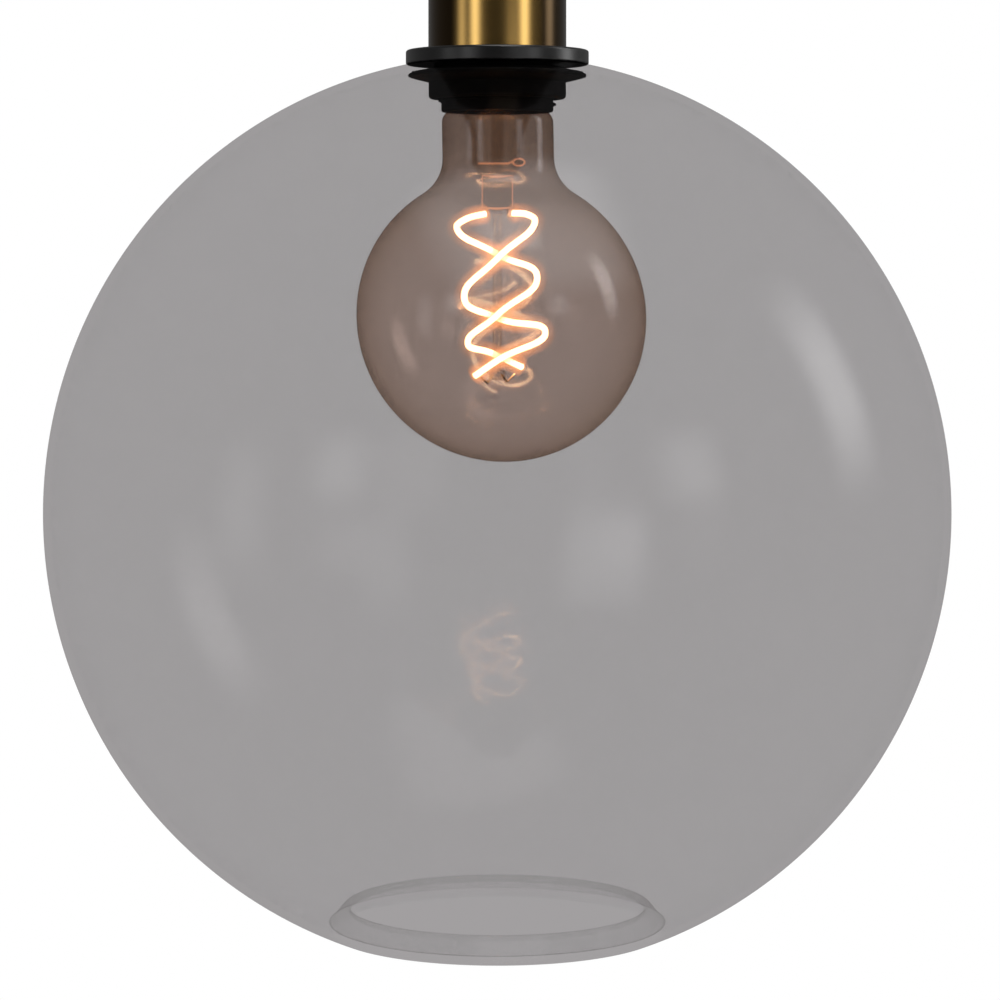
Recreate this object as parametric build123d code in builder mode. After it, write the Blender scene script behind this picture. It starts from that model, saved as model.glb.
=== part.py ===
from build123d import *
import math
import os

# Pendant ceiling light: a smoked glass globe hung from an E27 lampholder inside a brass cup.
# Millimetres, +Z up. The origin is the mouth of the cord entry, on the light's vertical axis.
# Heights of the parts are given above the centre of the glass globe and turned into z by at().

# ---- driving dimensions ----
seat = 0.05  # clearance between curved faces of parts that stay together

# glass globe: blown, a little taller than it is wide
globe_r = 150.0
globe_half_height = 151.0
globe_wall = 2.6
neck_hole_r = 21.0
neck_edge_round = 0.9
fold_r = 54.5  # radius at which the wall turns in and up at the lower opening
lip_r = 48.3  # clear radius of the lower opening
lip_height = -132.9
lip_thick = 2.8
fold_round = 2.6
lip_round = 1.2
fold_width = 1.5  # the ball's section ends this far outside the fold
fold_setback = 0.35

# cover disc on top of the globe
disc_r = 30.5
disc_top = 152.8
disc_plate = 1.6
disc_bottom = 148.15
disc_rim = 1.2
disc_hole_r = 20.2
disc_edge_round = 0.8
disc_rim_round = 0.4

# brass cup over the lampholder
cup_r = 23.0
cup_height = 75.0
cup_wall = 0.8
cup_corner = 3.0
cup_hole_r = 5.2
earth_hole_r = 2.05
cup_rim_round = 0.3

# earth terminal on the metal cup
earth_offset = 14.5  # earth screw's distance from the axis
earth_head = 1.8
earth_head_round = 0.6
earth_length = 7.0
earth_slot = 0.8
earth_slot_depth = 0.9
earth_nut_across = 6.8
earth_nut_height = 2.4
tag_r = 4.0
tag_tail = (3.0, 8.0)
tag_reach = 6.0

# cord gland, the object's only interface to the outside
gland_r = 8.0
gland_flange_r = 10.0
gland_flange = 2.5
gland_height = 17.0
gland_round = 1.5
gland_bore_r = 4.0
liner_bore_r = 3.1
liner_length = 12.0
stem_r = 4.95
stem_length = 31.0
grub_r = 2.0
grub_length = 3.4
grub_height = 11.0  # above the cup's top
socket_r = 1.0

# lock washer and nut under the cup's top
washer_r = 9.0
washer_thick = 0.8
nut_across = 17.0
nut_height = 4.0
thread_bore_r = 5.0

# lampholder: dome, carrier, skirt
holder_r = 21.3
skirt_bore_r = 16.9
skirt_core_r = 18.7
skirt_crest_r = 19.65
skirt_end = 132.2
skirt_edge_round = 0.8
skirt_small_round = 0.3
skirt_ledge_round = 0.5
skirt_bore_step = 2.0
ridge_root = 0.4  # a thread ridge's base is this far inside the wall it belongs to
shoulder_bore_r = 17.6
shoulder_top = 166.0
spigot_r = 18.9
spigot_top = 171.0
dome_top = 198.0
dome_wall = 2.2
dome_round = 7.0
dome_edge_round = 1.5
boss_r = 8.5
boss_height = 9.0
boss_round = 1.0
dome_grub_r = 1.5
dome_grub_slot = (3.2, 0.5)
dome_grub_slot_depth = 0.9
holder_pitch = 2.5
holder_thread_start = 134.8
holder_thread_length = 15.0
holder_ridge = (0.85, 0.3)  # half widths of the ridge at its base and crest

# shade ring, screwed on the skirt from inside the globe
ring_flange_r = 29.7
ring_top = 144.9
ring_edge = 0.9
ring_dish_r = 27.7
ring_dish_height = 143.4
ring_root_height = 142.2
ring_hub_r = 22.9
ring_bottom = 136.6
ring_edge_round = 1.2
ring_bore_r = 20.0
ring_crest_r = 19.15
ring_thread_start = 138.55
ring_thread_length = 5.0
ring_ridge = (0.72, 0.2)
ring_rim_round = 0.3
ring_dish_round = 1.5
ring_root_round = 0.4

# E27 screw: the lamp's cap and the holder's shell
lamp_pitch = 3.629
cap_core_r = 12.15
cap_crest_r = 13.05
cap_wall = 0.55
cap_rim = 133.2
cap_collar_r = 13.6
cap_collar_top = 135.2
cap_thread_start = 137.2
cap_thread_length = 9.0
cap_ridge = (1.05, 0.45)
cap_shoulder = 1.0  # height of the cone between collar and screw
cap_inner_steps = (0.2, 0.6, 0.4)  # offsets of the cap's inner face, from the end down
cap_cylinder_top = 149.8
cap_end_r = 8.6
cap_end = 153.6
shell_bore_r = 13.35
shell_wall = 0.5
shell_crest_r = 12.45
shell_bottom = 137.0
shell_top = 155.6
shell_hole_r = 9.2
shell_ridge = (0.62, 0.25)
shell_thread_length = 13.0
contact_end = 157.6
tip_r = 4.6
tip_thick = 1.6
tip_round = 0.7
tip_inset = 0.2

# carrier with the contacts and the terminals
carrier_r = 17.3
carrier_bottom = 159.0
carrier_top = 171.0
carrier_edge = 0.5
terminal_offset = 9.5
terminal_size = 7.0
terminal_height = 9.0
terminal_bore_r = 1.6
terminal_floor = 2.0
wire_hole_y = 1.4
screw_y = -2.0
screw_r = 1.45
screw_head_r = 2.3
screw_head = 1.8
screw_length = 4.2
screw_slot = 0.5
screw_slot_depth = 0.8
strip_thick = 0.5
strip_width = 6.0
rivet_r = 1.2
foot_margin = 3.0  # a contact's foot reaches past its rivet by half of this
centre_reach = (-4.0, 2.0)  # the centre contact's end past the axis, and its leg past the rivet
side_reach = (0.3, 3.5)  # the side contact's end past the shell's hole, and its leg past the rivet

# gaskets above and below the globe's neck
upper_gasket_width = 7.0
upper_gasket_depth = 8.0
lower_gasket_inset = 1.0
lower_gasket_height = 4.0

# lamp: G95 globe
lamp_height = 64.0  # centre of the lamp's glass ball
lamp_r = 48.3
lamp_wall = 0.9
lamp_neck_r = 18.6
lamp_neck_top = 133.2
lamp_flare = 14.0  # concave radius between the ball and the neck
lamp_shoulder = 4.6
lamp_mouth_r = 12.9

# inside the lamp
flare_top = 133.2
flare_r = 12.0
flare_tube_r = 8.4
flare_narrow = 124.0
flare_wall = 0.8
press_top = 112.0
press_bottom = 100.8
press_width = 10.0
press_depth = 6.4
press_round = 1.5
press_cone = 3.0  # the flare's tube closes on the press over this height
press_overlap = 2.0
tube_rounds = (4.0, 1.0, 0.5, 3.0)
joint_overlap = 1.0  # how far one glass piece runs into the next
rod_r = 1.45
rod_bottom = 43.0
bead_r = 2.6
bead_height = 3.0
bead_round = 1.4
exhaust_r = 2.0
exhaust_wall = 0.7
exhaust_top = 146.0
wire_r = 0.35
strand_r = 1.0
strand_coil_r = 13.0
strand_top = 97.5
strand_bottom = 44.5
strand_turns = 1.5
strand_angles = {"a": 60, "b": 240}
wire_clear = 0.4
wire_bend = 1.0
lead_r = 3.4  # lead wires' distance from the axis
hook_start = 1.5  # above the rod's end
hook_reach = 4.0
hook_dip = 1.0
board_size = (15.0, 1.2, 11.0)
board_bottom = 137.0
board_y = 4.2
board_corner = 1.0
component_height = 1.6
chip_size = (3.0, 2.4)
chip_places = [(-4.2, 3.4), (-4.2, 8.0)]
coil_size = (4.4, 5.4)
coil_place = (4.2, 5.5)

globe_z = -(gland_height + cup_height + disc_top)


def at(height):
    """z of a height given above the globe's centre."""
    return globe_z + height


def ellipse_height(radius, inset):
    """Height of the globe's wall above its centre, at a radius and inside the wall by inset."""
    return (globe_half_height - inset) * math.sqrt(1 - (radius / (globe_r - inset)) ** 2)


def outline(*points, rounds=0):
    """Closed outline in the XZ plane from (radius, height) points, with its corners rounded."""
    corners = [(radius, at(height)) for radius, height in points]
    radii = rounds if isinstance(rounds, list) else [rounds] * len(corners)
    FilletPolyline(*corners, radius=radii, close=True)


def thread_ridge(pitch, start, length, base_r, crest_r, half_widths):
    """Helical ridge with a trapezoid section; its base is buried in the part it belongs to."""
    base_half, crest_half = half_widths
    with BuildPart() as ridge:
        with BuildLine():
            Helix(pitch, length, base_r, center=(0, 0, at(start)))
        with BuildSketch(Plane.XZ):
            with BuildLine():
                outline(
                    (base_r, start - base_half),
                    (crest_r, start - crest_half),
                    (crest_r, start + crest_half),
                    (base_r, start + base_half),
                )
            make_face()
        sweep(is_frenet=True)
    return ridge.part


def bent_wire(points, radius, bend):
    """Round wire along straight runs joined by tangent arcs."""
    with BuildPart() as wire:
        with BuildLine() as path:
            FilletPolyline(*points, radius=bend)
        with BuildSketch(Plane(origin=path.line @ 0, z_dir=path.line % 0)):
            Circle(radius)
        sweep()
    return wire.part


def around(radius, angle, z):
    """Point at a radius and an angle in degrees about the light's axis."""
    turn = math.radians(angle)
    return (radius * math.cos(turn), radius * math.sin(turn), z)


def contact_strip(height, inner_x, outer_x, side):
    """Bent strip: a flat end at a height, a short leg and a foot under the carrier."""
    with BuildPart() as strip:
        with BuildSketch(Plane.XY.offset(at(height))):
            with Locations((side * inner_x, 0)):
                Rectangle(
                    outer_x - inner_x,
                    strip_width,
                    align=(Align.MIN if side > 0 else Align.MAX, Align.CENTER),
                )
        extrude(amount=strip_thick)
        with BuildSketch(Plane.XY.offset(at(height))):
            with Locations((side * outer_x, 0)):
                Rectangle(
                    strip_thick,
                    strip_width,
                    align=(Align.MAX if side > 0 else Align.MIN, Align.CENTER),
                )
        extrude(amount=carrier_bottom - height)
        with BuildSketch(Plane.XY.offset(at(carrier_bottom))):
            with Locations((side * terminal_offset, 0)):
                Rectangle(2 * abs(outer_x - terminal_offset) + foot_margin, strip_width)
                Circle(rivet_r + seat, mode=Mode.SUBTRACT)
        extrude(amount=-strip_thick)
    return strip


pieces = {}

# ---- cord gland and its parts ----
cup_top = disc_top + cup_height
gland_top = cup_top + gland_height
grub_z = at(cup_top + grub_height)

with BuildPart() as cord_gland:
    with BuildSketch(Plane.XZ):
        with BuildLine():
            outline(
                (gland_bore_r, cup_top - stem_length),
                (stem_r, cup_top - stem_length),
                (stem_r, cup_top),
                (gland_flange_r, cup_top),
                (gland_flange_r, cup_top + gland_flange),
                (gland_r, cup_top + gland_flange),
                (gland_r, gland_top),
                (gland_bore_r, gland_top),
                rounds=[0, 0, 0, 0, gland_round / 2, 0, gland_round, 0],
            )
        make_face()
    revolve(axis=Axis.Z)
    with BuildSketch(Plane.YZ):
        with Locations((0, grub_z)):
            Circle(grub_r)
    extrude(amount=gland_r, mode=Mode.SUBTRACT)
pieces["cord_gland"] = cord_gland

with BuildPart() as cord_liner:
    with BuildSketch(Plane.XY.offset(at(gland_top))):
        Circle(gland_bore_r - seat)
        Circle(liner_bore_r, mode=Mode.SUBTRACT)
    extrude(amount=-liner_length)
pieces["cord_liner"] = cord_liner

with BuildPart() as gland_grub_screw:
    with BuildSketch(Plane.YZ.offset(gland_bore_r + seat)):
        with Locations((0, grub_z)):
            Circle(grub_r - seat)
    extrude(amount=grub_length)
    with BuildSketch(Plane.YZ.offset(gland_bore_r + seat + grub_length)):
        with Locations((0, grub_z)):
            RegularPolygon(socket_r, 6)
    extrude(amount=-grub_length / 2, mode=Mode.SUBTRACT)
pieces["gland_grub_screw"] = gland_grub_screw

# ---- brass cup ----
with BuildPart() as brass_cup:
    with BuildSketch(Plane.XZ):
        with BuildLine():
            outline(
                (cup_hole_r, cup_top),
                (cup_r, cup_top),
                (cup_r, disc_top),
                (cup_r - cup_wall, disc_top),
                (cup_r - cup_wall, cup_top - cup_wall),
                (cup_hole_r, cup_top - cup_wall),
                rounds=[0, cup_corner, cup_rim_round, 0, cup_corner - cup_wall, 0],
            )
        make_face()
    revolve(axis=Axis.Z)
    with BuildSketch(Plane.XY.offset(at(cup_top))):
        with Locations((-earth_offset, 0)):
            Circle(earth_hole_r)
    extrude(amount=-2 * cup_wall, mode=Mode.SUBTRACT)
pieces["brass_cup"] = brass_cup

under_cup = cup_top - cup_wall

with BuildPart() as lock_washer:
    with BuildSketch(Plane.XY.offset(at(under_cup))):
        Circle(washer_r)
        Circle(thread_bore_r + seat, mode=Mode.SUBTRACT)
    extrude(amount=-washer_thick)
pieces["lock_washer"] = lock_washer

with BuildPart() as lock_nut:
    with BuildSketch(Plane.XY.offset(at(under_cup - washer_thick))):
        RegularPolygon(nut_across / 2, 6, major_radius=False)
        Circle(thread_bore_r, mode=Mode.SUBTRACT)
    extrude(amount=-nut_height)
pieces["lock_nut"] = lock_nut

# ---- earth terminal on the metal cup ----
with BuildPart() as earth_screw:
    with BuildSketch(Plane.XY.offset(at(cup_top))):
        with Locations((-earth_offset, 0)):
            Circle(2 * earth_hole_r)
    extrude(amount=earth_head)
    fillet(earth_screw.faces().sort_by(Axis.Z)[-1].edges(), earth_head_round)
    with BuildSketch(Plane.XY.offset(at(cup_top))):
        with Locations((-earth_offset, 0)):
            Circle(earth_hole_r - seat)
    extrude(amount=-earth_length)
    with BuildSketch(Plane.XY.offset(at(cup_top) + earth_head)):
        with Locations((-earth_offset, 0)):
            Rectangle(5 * earth_hole_r, earth_slot)
    extrude(amount=-earth_slot_depth, mode=Mode.SUBTRACT)
pieces["earth_screw"] = earth_screw

with BuildPart() as earth_nut:
    with BuildSketch(Plane.XY.offset(at(under_cup) - strip_thick)):
        with Locations((-earth_offset, 0)):
            RegularPolygon(earth_nut_across / 2, 6, major_radius=False)
            Circle(earth_hole_r, mode=Mode.SUBTRACT)
    extrude(amount=-earth_nut_height)
pieces["earth_nut"] = earth_nut

with BuildPart() as earth_tag:
    with BuildSketch(Plane.XY.offset(at(under_cup))):
        with Locations((-earth_offset, 0)):
            Circle(tag_r)
            with Locations((0, tag_reach)):
                Rectangle(*tag_tail)
            Circle(earth_hole_r, mode=Mode.SUBTRACT)
    extrude(amount=-strip_thick)
pieces["earth_tag"] = earth_tag

# ---- cover disc ----
with BuildPart() as cover_disc:
    with BuildSketch(Plane.XZ):
        with BuildLine():
            outline(
                (disc_hole_r, disc_top),
                (disc_r, disc_top),
                (disc_r, disc_bottom),
                (disc_r - disc_rim, disc_bottom),
                (disc_r - disc_rim, disc_top - disc_plate),
                (disc_hole_r, disc_top - disc_plate),
                rounds=[0, disc_edge_round, disc_rim_round, disc_rim_round, disc_rim_round, 0],
            )
        make_face()
    revolve(axis=Axis.Z)
pieces["cover_disc"] = cover_disc

# ---- lampholder ----
boss_top = dome_top + boss_height

with BuildPart() as holder_dome:
    with BuildSketch(Plane.XZ):
        with BuildLine():
            outline(
                (thread_bore_r, boss_top),
                (boss_r, boss_top),
                (boss_r, dome_top),
                (holder_r, dome_top),
                (holder_r, shoulder_top),
                (spigot_r + seat, shoulder_top),
                (spigot_r + seat, dome_top - dome_wall),
                (thread_bore_r, dome_top - dome_wall),
                rounds=[0, boss_round, dome_edge_round, dome_round, 0, 0, dome_round - dome_wall, 0],
            )
        make_face()
    revolve(axis=Axis.Z)
    with BuildSketch(Plane.XZ):
        with Locations((0, at(boss_top - boss_height / 2))):
            Circle(dome_grub_r)
    extrude(amount=2 * boss_r, mode=Mode.SUBTRACT)
pieces["holder_dome"] = holder_dome

with BuildPart() as dome_grub_screw:
    with BuildSketch(Plane.XZ.offset(thread_bore_r + seat)):
        with Locations((0, at(boss_top - boss_height / 2))):
            Circle(dome_grub_r - seat)
    extrude(amount=boss_r - thread_bore_r - 2 * seat)
    with BuildSketch(Plane.XZ.offset(boss_r - seat)):
        with Locations((0, at(boss_top - boss_height / 2))):
            Rectangle(*dome_grub_slot)
    extrude(amount=-dome_grub_slot_depth, mode=Mode.SUBTRACT)
pieces["dome_grub_screw"] = dome_grub_screw

with BuildPart() as holder_skirt:
    with BuildSketch(Plane.XZ):
        with BuildLine():
            outline(
                (skirt_bore_r, skirt_end),
                (skirt_core_r, skirt_end),
                (skirt_core_r, disc_top),
                (holder_r, disc_top),
                (holder_r, shoulder_top),
                (spigot_r, shoulder_top),
                (spigot_r, spigot_top),
                (shoulder_bore_r, spigot_top),
                (shoulder_bore_r, disc_top + skirt_bore_step),
                (skirt_bore_r, disc_top),
                rounds=[
                    skirt_small_round,
                    skirt_edge_round,
                    0,
                    skirt_ledge_round,
                    0,
                    0,
                    skirt_small_round,
                    skirt_small_round,
                    0,
                    0,
                ],
            )
        make_face()
    revolve(axis=Axis.Z)
    add(
        thread_ridge(
            holder_pitch,
            holder_thread_start,
            holder_thread_length,
            skirt_core_r - ridge_root,
            skirt_crest_r,
            holder_ridge,
        )
    )
pieces["holder_skirt"] = holder_skirt

with BuildPart() as contact_carrier:
    with BuildSketch(Plane.XY.offset(at(carrier_bottom))):
        Circle(carrier_r)
    extrude(amount=carrier_top - carrier_bottom)
    with BuildSketch(Plane.XY.offset(at(carrier_top))):
        with Locations((-terminal_offset, 0), (terminal_offset, 0)):
            Rectangle(terminal_size + 2 * seat, terminal_size + 2 * seat)
    extrude(amount=-terminal_height, mode=Mode.SUBTRACT)
    chamfer(contact_carrier.edges().filter_by(GeomType.CIRCLE), carrier_edge)
    with BuildSketch(Plane.XY.offset(at(carrier_bottom))):
        with Locations((-terminal_offset, 0), (terminal_offset, 0)):
            Circle(rivet_r + seat)
    extrude(amount=carrier_top - carrier_bottom, mode=Mode.SUBTRACT)
pieces["contact_carrier"] = contact_carrier

with BuildPart() as terminal_blocks:
    with BuildSketch(Plane.XY.offset(at(carrier_top))):
        with Locations((-terminal_offset, 0), (terminal_offset, 0)):
            Rectangle(terminal_size, terminal_size)
    extrude(amount=-(terminal_height - seat))
    with BuildSketch(Plane.XY.offset(at(carrier_top))):
        with Locations((-terminal_offset, wire_hole_y), (terminal_offset, wire_hole_y)):
            Circle(terminal_bore_r)
        with Locations((-terminal_offset, screw_y), (terminal_offset, screw_y)):
            Circle(screw_r + seat)
    extrude(amount=-(terminal_height - terminal_floor), mode=Mode.SUBTRACT)
pieces["terminal_blocks"] = terminal_blocks

with BuildPart() as terminal_screws:
    with BuildSketch(Plane.XY.offset(at(carrier_top))):
        with Locations((-terminal_offset, screw_y), (terminal_offset, screw_y)):
            Circle(screw_r)
    extrude(amount=-screw_length)
    with BuildSketch(Plane.XY.offset(at(carrier_top))):
        with Locations((-terminal_offset, screw_y), (terminal_offset, screw_y)):
            Circle(screw_head_r)
    extrude(amount=screw_head)
    with BuildSketch(Plane.XY.offset(at(carrier_top) + screw_head)):
        with Locations((-terminal_offset, screw_y), (terminal_offset, screw_y)):
            Rectangle(2 * screw_head_r, screw_slot)
    extrude(amount=-screw_slot_depth, mode=Mode.SUBTRACT)
pieces["terminal_screws"] = terminal_screws

with BuildPart() as contact_rivets:
    with BuildSketch(Plane.XY.offset(at(carrier_bottom) - strip_thick)):
        with Locations((-terminal_offset, 0), (terminal_offset, 0)):
            Circle(rivet_r)
    extrude(amount=carrier_top - terminal_height - carrier_bottom + strip_thick)
pieces["contact_rivets"] = contact_rivets

pieces["centre_contact"] = contact_strip(
    contact_end, centre_reach[0], terminal_offset + centre_reach[1], 1
)

with BuildPart() as screw_shell:
    with BuildSketch(Plane.XZ):
        with BuildLine():
            outline(
                (shell_bore_r, shell_bottom),
                (shell_bore_r + shell_wall, shell_bottom),
                (shell_bore_r + shell_wall, shell_top),
                (shell_hole_r, shell_top),
                (shell_hole_r, shell_top - shell_wall),
                (shell_bore_r, shell_top - shell_wall),
            )
        make_face()
    revolve(axis=Axis.Z)
    add(
        thread_ridge(
            lamp_pitch,
            cap_thread_start + lamp_pitch / 2,
            shell_thread_length,
            shell_bore_r + shell_wall / 2,
            shell_crest_r,
            shell_ridge,
        )
    )
pieces["screw_shell"] = screw_shell

pieces["side_contact"] = contact_strip(
    shell_top, shell_hole_r + side_reach[0], terminal_offset + side_reach[1], -1
)

# ---- glass globe with its gaskets ----
fold_rise = lip_height + ellipse_height(fold_r, 0)
fold_run = fold_r - lip_r
lip_length = math.hypot(fold_rise, fold_run)
lip_shift = (lip_thick * fold_rise / lip_length, lip_thick * fold_run / lip_length)
wall_end_r = fold_r + fold_width
corner_r = wall_end_r - fold_setback

with BuildPart() as glass_globe:
    with BuildSketch(Plane.XZ) as globe_wall_section:
        with Locations((0, globe_z)):
            Ellipse(globe_r, globe_half_height)
            Ellipse(globe_r - globe_wall, globe_half_height - globe_wall, mode=Mode.SUBTRACT)
            Rectangle(2 * globe_r, 3 * globe_r, align=(Align.MAX, Align.CENTER), mode=Mode.SUBTRACT)
            Rectangle(neck_hole_r, 2 * globe_r, align=(Align.MIN, Align.MIN), mode=Mode.SUBTRACT)
            Rectangle(wall_end_r, 2 * globe_r, align=(Align.MIN, Align.MAX), mode=Mode.SUBTRACT)
        fillet(globe_wall_section.vertices().sort_by(Axis.Y)[-2:], neck_edge_round)
        with BuildLine():
            outline(
                (wall_end_r, -ellipse_height(wall_end_r, 0)),
                (fold_r, -ellipse_height(fold_r, 0)),
                (lip_r, lip_height),
                (lip_r + lip_shift[0], lip_height + lip_shift[1]),
                (corner_r, -ellipse_height(corner_r, globe_wall)),
                (wall_end_r, -ellipse_height(wall_end_r, globe_wall)),
                rounds=[0, fold_round / 2, lip_round, lip_round, 0, 0],
            )
        make_face()
    revolve(axis=Axis.Z)
pieces["glass_globe"] = glass_globe

with BuildPart() as upper_gasket:
    with BuildSketch(Plane.XZ) as upper_gasket_section:
        with Locations((0, at(disc_top - disc_plate))):
            Rectangle(
                neck_hole_r + upper_gasket_width, upper_gasket_depth, align=(Align.MIN, Align.MAX)
            )
            Rectangle(
                neck_hole_r, upper_gasket_depth, align=(Align.MIN, Align.MAX), mode=Mode.SUBTRACT
            )
        with Locations((0, globe_z)):
            Ellipse(globe_r + seat, globe_half_height + seat, mode=Mode.SUBTRACT)
    revolve(axis=Axis.Z)
pieces["upper_gasket"] = upper_gasket

with BuildPart() as lower_gasket:
    with BuildSketch(Plane.XZ):
        with Locations((0, at(ring_top))):
            Rectangle(
                ring_flange_r - lower_gasket_inset,
                lower_gasket_height,
                align=(Align.MIN, Align.MIN),
            )
            Rectangle(
                neck_hole_r, lower_gasket_height, align=(Align.MIN, Align.MIN), mode=Mode.SUBTRACT
            )
        with Locations((0, globe_z)):
            Ellipse(
                globe_r - globe_wall - seat,
                globe_half_height - globe_wall - seat,
                mode=Mode.INTERSECT,
            )
    revolve(axis=Axis.Z)
pieces["lower_gasket"] = lower_gasket

# ---- shade ring ----
with BuildPart() as shade_ring:
    with BuildSketch(Plane.XZ):
        with BuildLine():
            outline(
                (ring_bore_r, ring_top),
                (ring_flange_r, ring_top),
                (ring_flange_r, ring_top - ring_edge),
                (ring_dish_r, ring_dish_height),
                (ring_hub_r, ring_root_height),
                (ring_hub_r, ring_bottom),
                (ring_bore_r, ring_bottom),
                rounds=[
                    0,
                    ring_rim_round,
                    ring_rim_round,
                    ring_dish_round,
                    ring_root_round,
                    ring_edge_round,
                    0,
                ],
            )
        make_face()
    revolve(axis=Axis.Z)
    add(
        thread_ridge(
            holder_pitch,
            ring_thread_start,
            ring_thread_length,
            ring_bore_r + ridge_root,
            ring_crest_r,
            ring_ridge,
        )
    )
pieces["shade_ring"] = shade_ring

# ---- lamp: screw cap ----
with BuildPart() as lamp_cap:
    with BuildSketch(Plane.XZ):
        with BuildLine():
            outline(
                (cap_collar_r - cap_wall, cap_rim),
                (cap_collar_r, cap_rim),
                (cap_collar_r, cap_collar_top),
                (cap_core_r, cap_collar_top + cap_shoulder),
                (cap_core_r, cap_cylinder_top),
                (cap_end_r, cap_end),
                (cap_end_r - cap_wall, cap_end),
                (cap_core_r - cap_wall, cap_cylinder_top - cap_inner_steps[0]),
                (cap_core_r - cap_wall, cap_collar_top + cap_inner_steps[1]),
                (cap_collar_r - cap_wall, cap_collar_top - cap_inner_steps[2]),
            )
        make_face()
    revolve(axis=Axis.Z)
    add(
        thread_ridge(
            lamp_pitch,
            cap_thread_start,
            cap_thread_length,
            cap_core_r - cap_wall / 2,
            cap_crest_r,
            cap_ridge,
        )
    )
pieces["lamp_cap"] = lamp_cap

with BuildPart() as cap_insulator:
    with BuildSketch(Plane.XZ):
        with BuildLine():
            outline(
                (0, cap_end),
                (cap_end_r - tip_inset, cap_end),
                (tip_r, contact_end - tip_thick),
                (0, contact_end - tip_thick),
            )
        make_face()
    revolve(axis=Axis.Z)
pieces["cap_insulator"] = cap_insulator

with BuildPart() as cap_tip:
    with BuildSketch(Plane.XY.offset(at(contact_end - tip_thick))):
        Circle(tip_r - tip_inset)
    extrude(amount=tip_thick)
    fillet(cap_tip.faces().sort_by(Axis.Z)[-1].edges(), tip_round)
pieces["cap_tip"] = cap_tip

# ---- lamp: glass ----
with BuildPart() as lamp_glass:
    with BuildSketch(Plane.XZ) as lamp_section:
        with Locations((0, at(lamp_height))):
            Circle(lamp_r)
            Rectangle(
                2 * lamp_neck_r, lamp_neck_top - lamp_height, align=(Align.CENTER, Align.MIN)
            )
        fillet(lamp_section.vertices().group_by(Axis.Y)[-2], lamp_flare)
        fillet(lamp_section.vertices().group_by(Axis.Y)[-1], lamp_shoulder)
        offset(amount=-lamp_wall, mode=Mode.SUBTRACT)
        with Locations((0, at(lamp_height))):
            Rectangle(4 * lamp_r, 5 * lamp_r, align=(Align.MAX, Align.CENTER), mode=Mode.SUBTRACT)
            Rectangle(lamp_mouth_r, 3 * lamp_r, align=(Align.MIN, Align.MIN), mode=Mode.SUBTRACT)
    revolve(axis=Axis.Z)
pieces["lamp_glass"] = lamp_glass

with BuildPart() as lamp_stem:
    with BuildSketch(Plane.XZ):
        with BuildLine():
            outline(
                (flare_r, flare_top),
                (flare_tube_r, flare_narrow),
                (flare_tube_r, press_top + press_cone),
                (press_width / 2, press_top - press_overlap),
                (0, press_top - press_overlap),
                (0, press_top),
                (press_width / 2 - flare_wall, press_top),
                (flare_tube_r - flare_wall, press_top + press_cone),
                (flare_tube_r - flare_wall, flare_narrow),
                (flare_r - flare_wall, flare_top),
                rounds=[0, tube_rounds[0], tube_rounds[1], 0, 0, 0, 0, *tube_rounds[2:], 0],
            )
        make_face()
    revolve(axis=Axis.Z)
    with BuildSketch(Plane.XY.offset(at(press_top - joint_overlap))):
        RectangleRounded(press_width, press_depth, press_round)
    extrude(amount=-(press_top - joint_overlap - press_bottom))
    fillet(lamp_stem.faces().sort_by(Axis.Z)[0].edges(), press_round / 2)
    with BuildSketch(Plane.XY.offset(at(press_bottom + joint_overlap))):
        Circle(rod_r)
    extrude(amount=-(press_bottom + joint_overlap - rod_bottom))
    with BuildSketch(Plane.XY.offset(at(rod_bottom))):
        Circle(bead_r)
    extrude(amount=bead_height)
    fillet(lamp_stem.faces().sort_by(Axis.Z)[0].edges(), bead_round)
pieces["lamp_stem"] = lamp_stem

with BuildPart() as exhaust_tube:
    with BuildSketch(Plane.XY.offset(at(press_top))):
        Circle(exhaust_r)
        Circle(exhaust_r - exhaust_wall, mode=Mode.SUBTRACT)
    extrude(amount=exhaust_top - press_top)
pieces["exhaust_tube"] = exhaust_tube

# ---- lamp: filament strands and wires ----
with BuildPart() as strand:
    with BuildLine() as strand_path:
        Helix(
            (strand_top - strand_bottom) / strand_turns,
            strand_top - strand_bottom,
            strand_coil_r,
            center=(0, 0, at(strand_bottom)),
        )
    with BuildSketch(Plane(origin=strand_path.line @ 0, z_dir=strand_path.line % 0)):
        Circle(strand_r)
    sweep(is_frenet=True)

for letter, angle in strand_angles.items():
    with BuildPart() as filament:
        add(strand.part, rotation=(0, 0, angle))
    pieces[f"filament_{letter}"] = filament

with BuildPart() as lead_wires:
    for angle in strand_angles.values():
        end_r = strand_coil_r - strand_r - wire_clear
        side = -1 if angle < 180 else 1
        add(
            bent_wire(
                [
                    (side * lead_r, 0, at(press_bottom - wire_clear)),
                    (side * lead_r, 0, at(strand_top)),
                    around(end_r, angle + 180, at(strand_top)),
                ],
                wire_r,
                wire_bend,
            )
        )
pieces["lead_wires"] = lead_wires

with BuildPart() as hook_wires:
    for angle in strand_angles.values():
        add(
            bent_wire(
                [
                    around(bead_r + wire_clear, angle, at(rod_bottom + hook_start)),
                    around(bead_r + hook_reach, angle, at(rod_bottom - hook_dip)),
                    around(strand_coil_r - strand_r - wire_clear, angle, at(strand_bottom)),
                ],
                wire_r,
                wire_bend,
            )
        )
pieces["hook_wires"] = hook_wires

# ---- lamp: driver in the cap ----
with BuildPart() as driver_board:
    with BuildSketch(Plane.XZ.offset(-board_y)):
        with Locations((0, at(board_bottom) + board_size[2] / 2)):
            RectangleRounded(board_size[0], board_size[2], board_corner)
    extrude(amount=-board_size[1])
pieces["driver_board"] = driver_board

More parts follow.
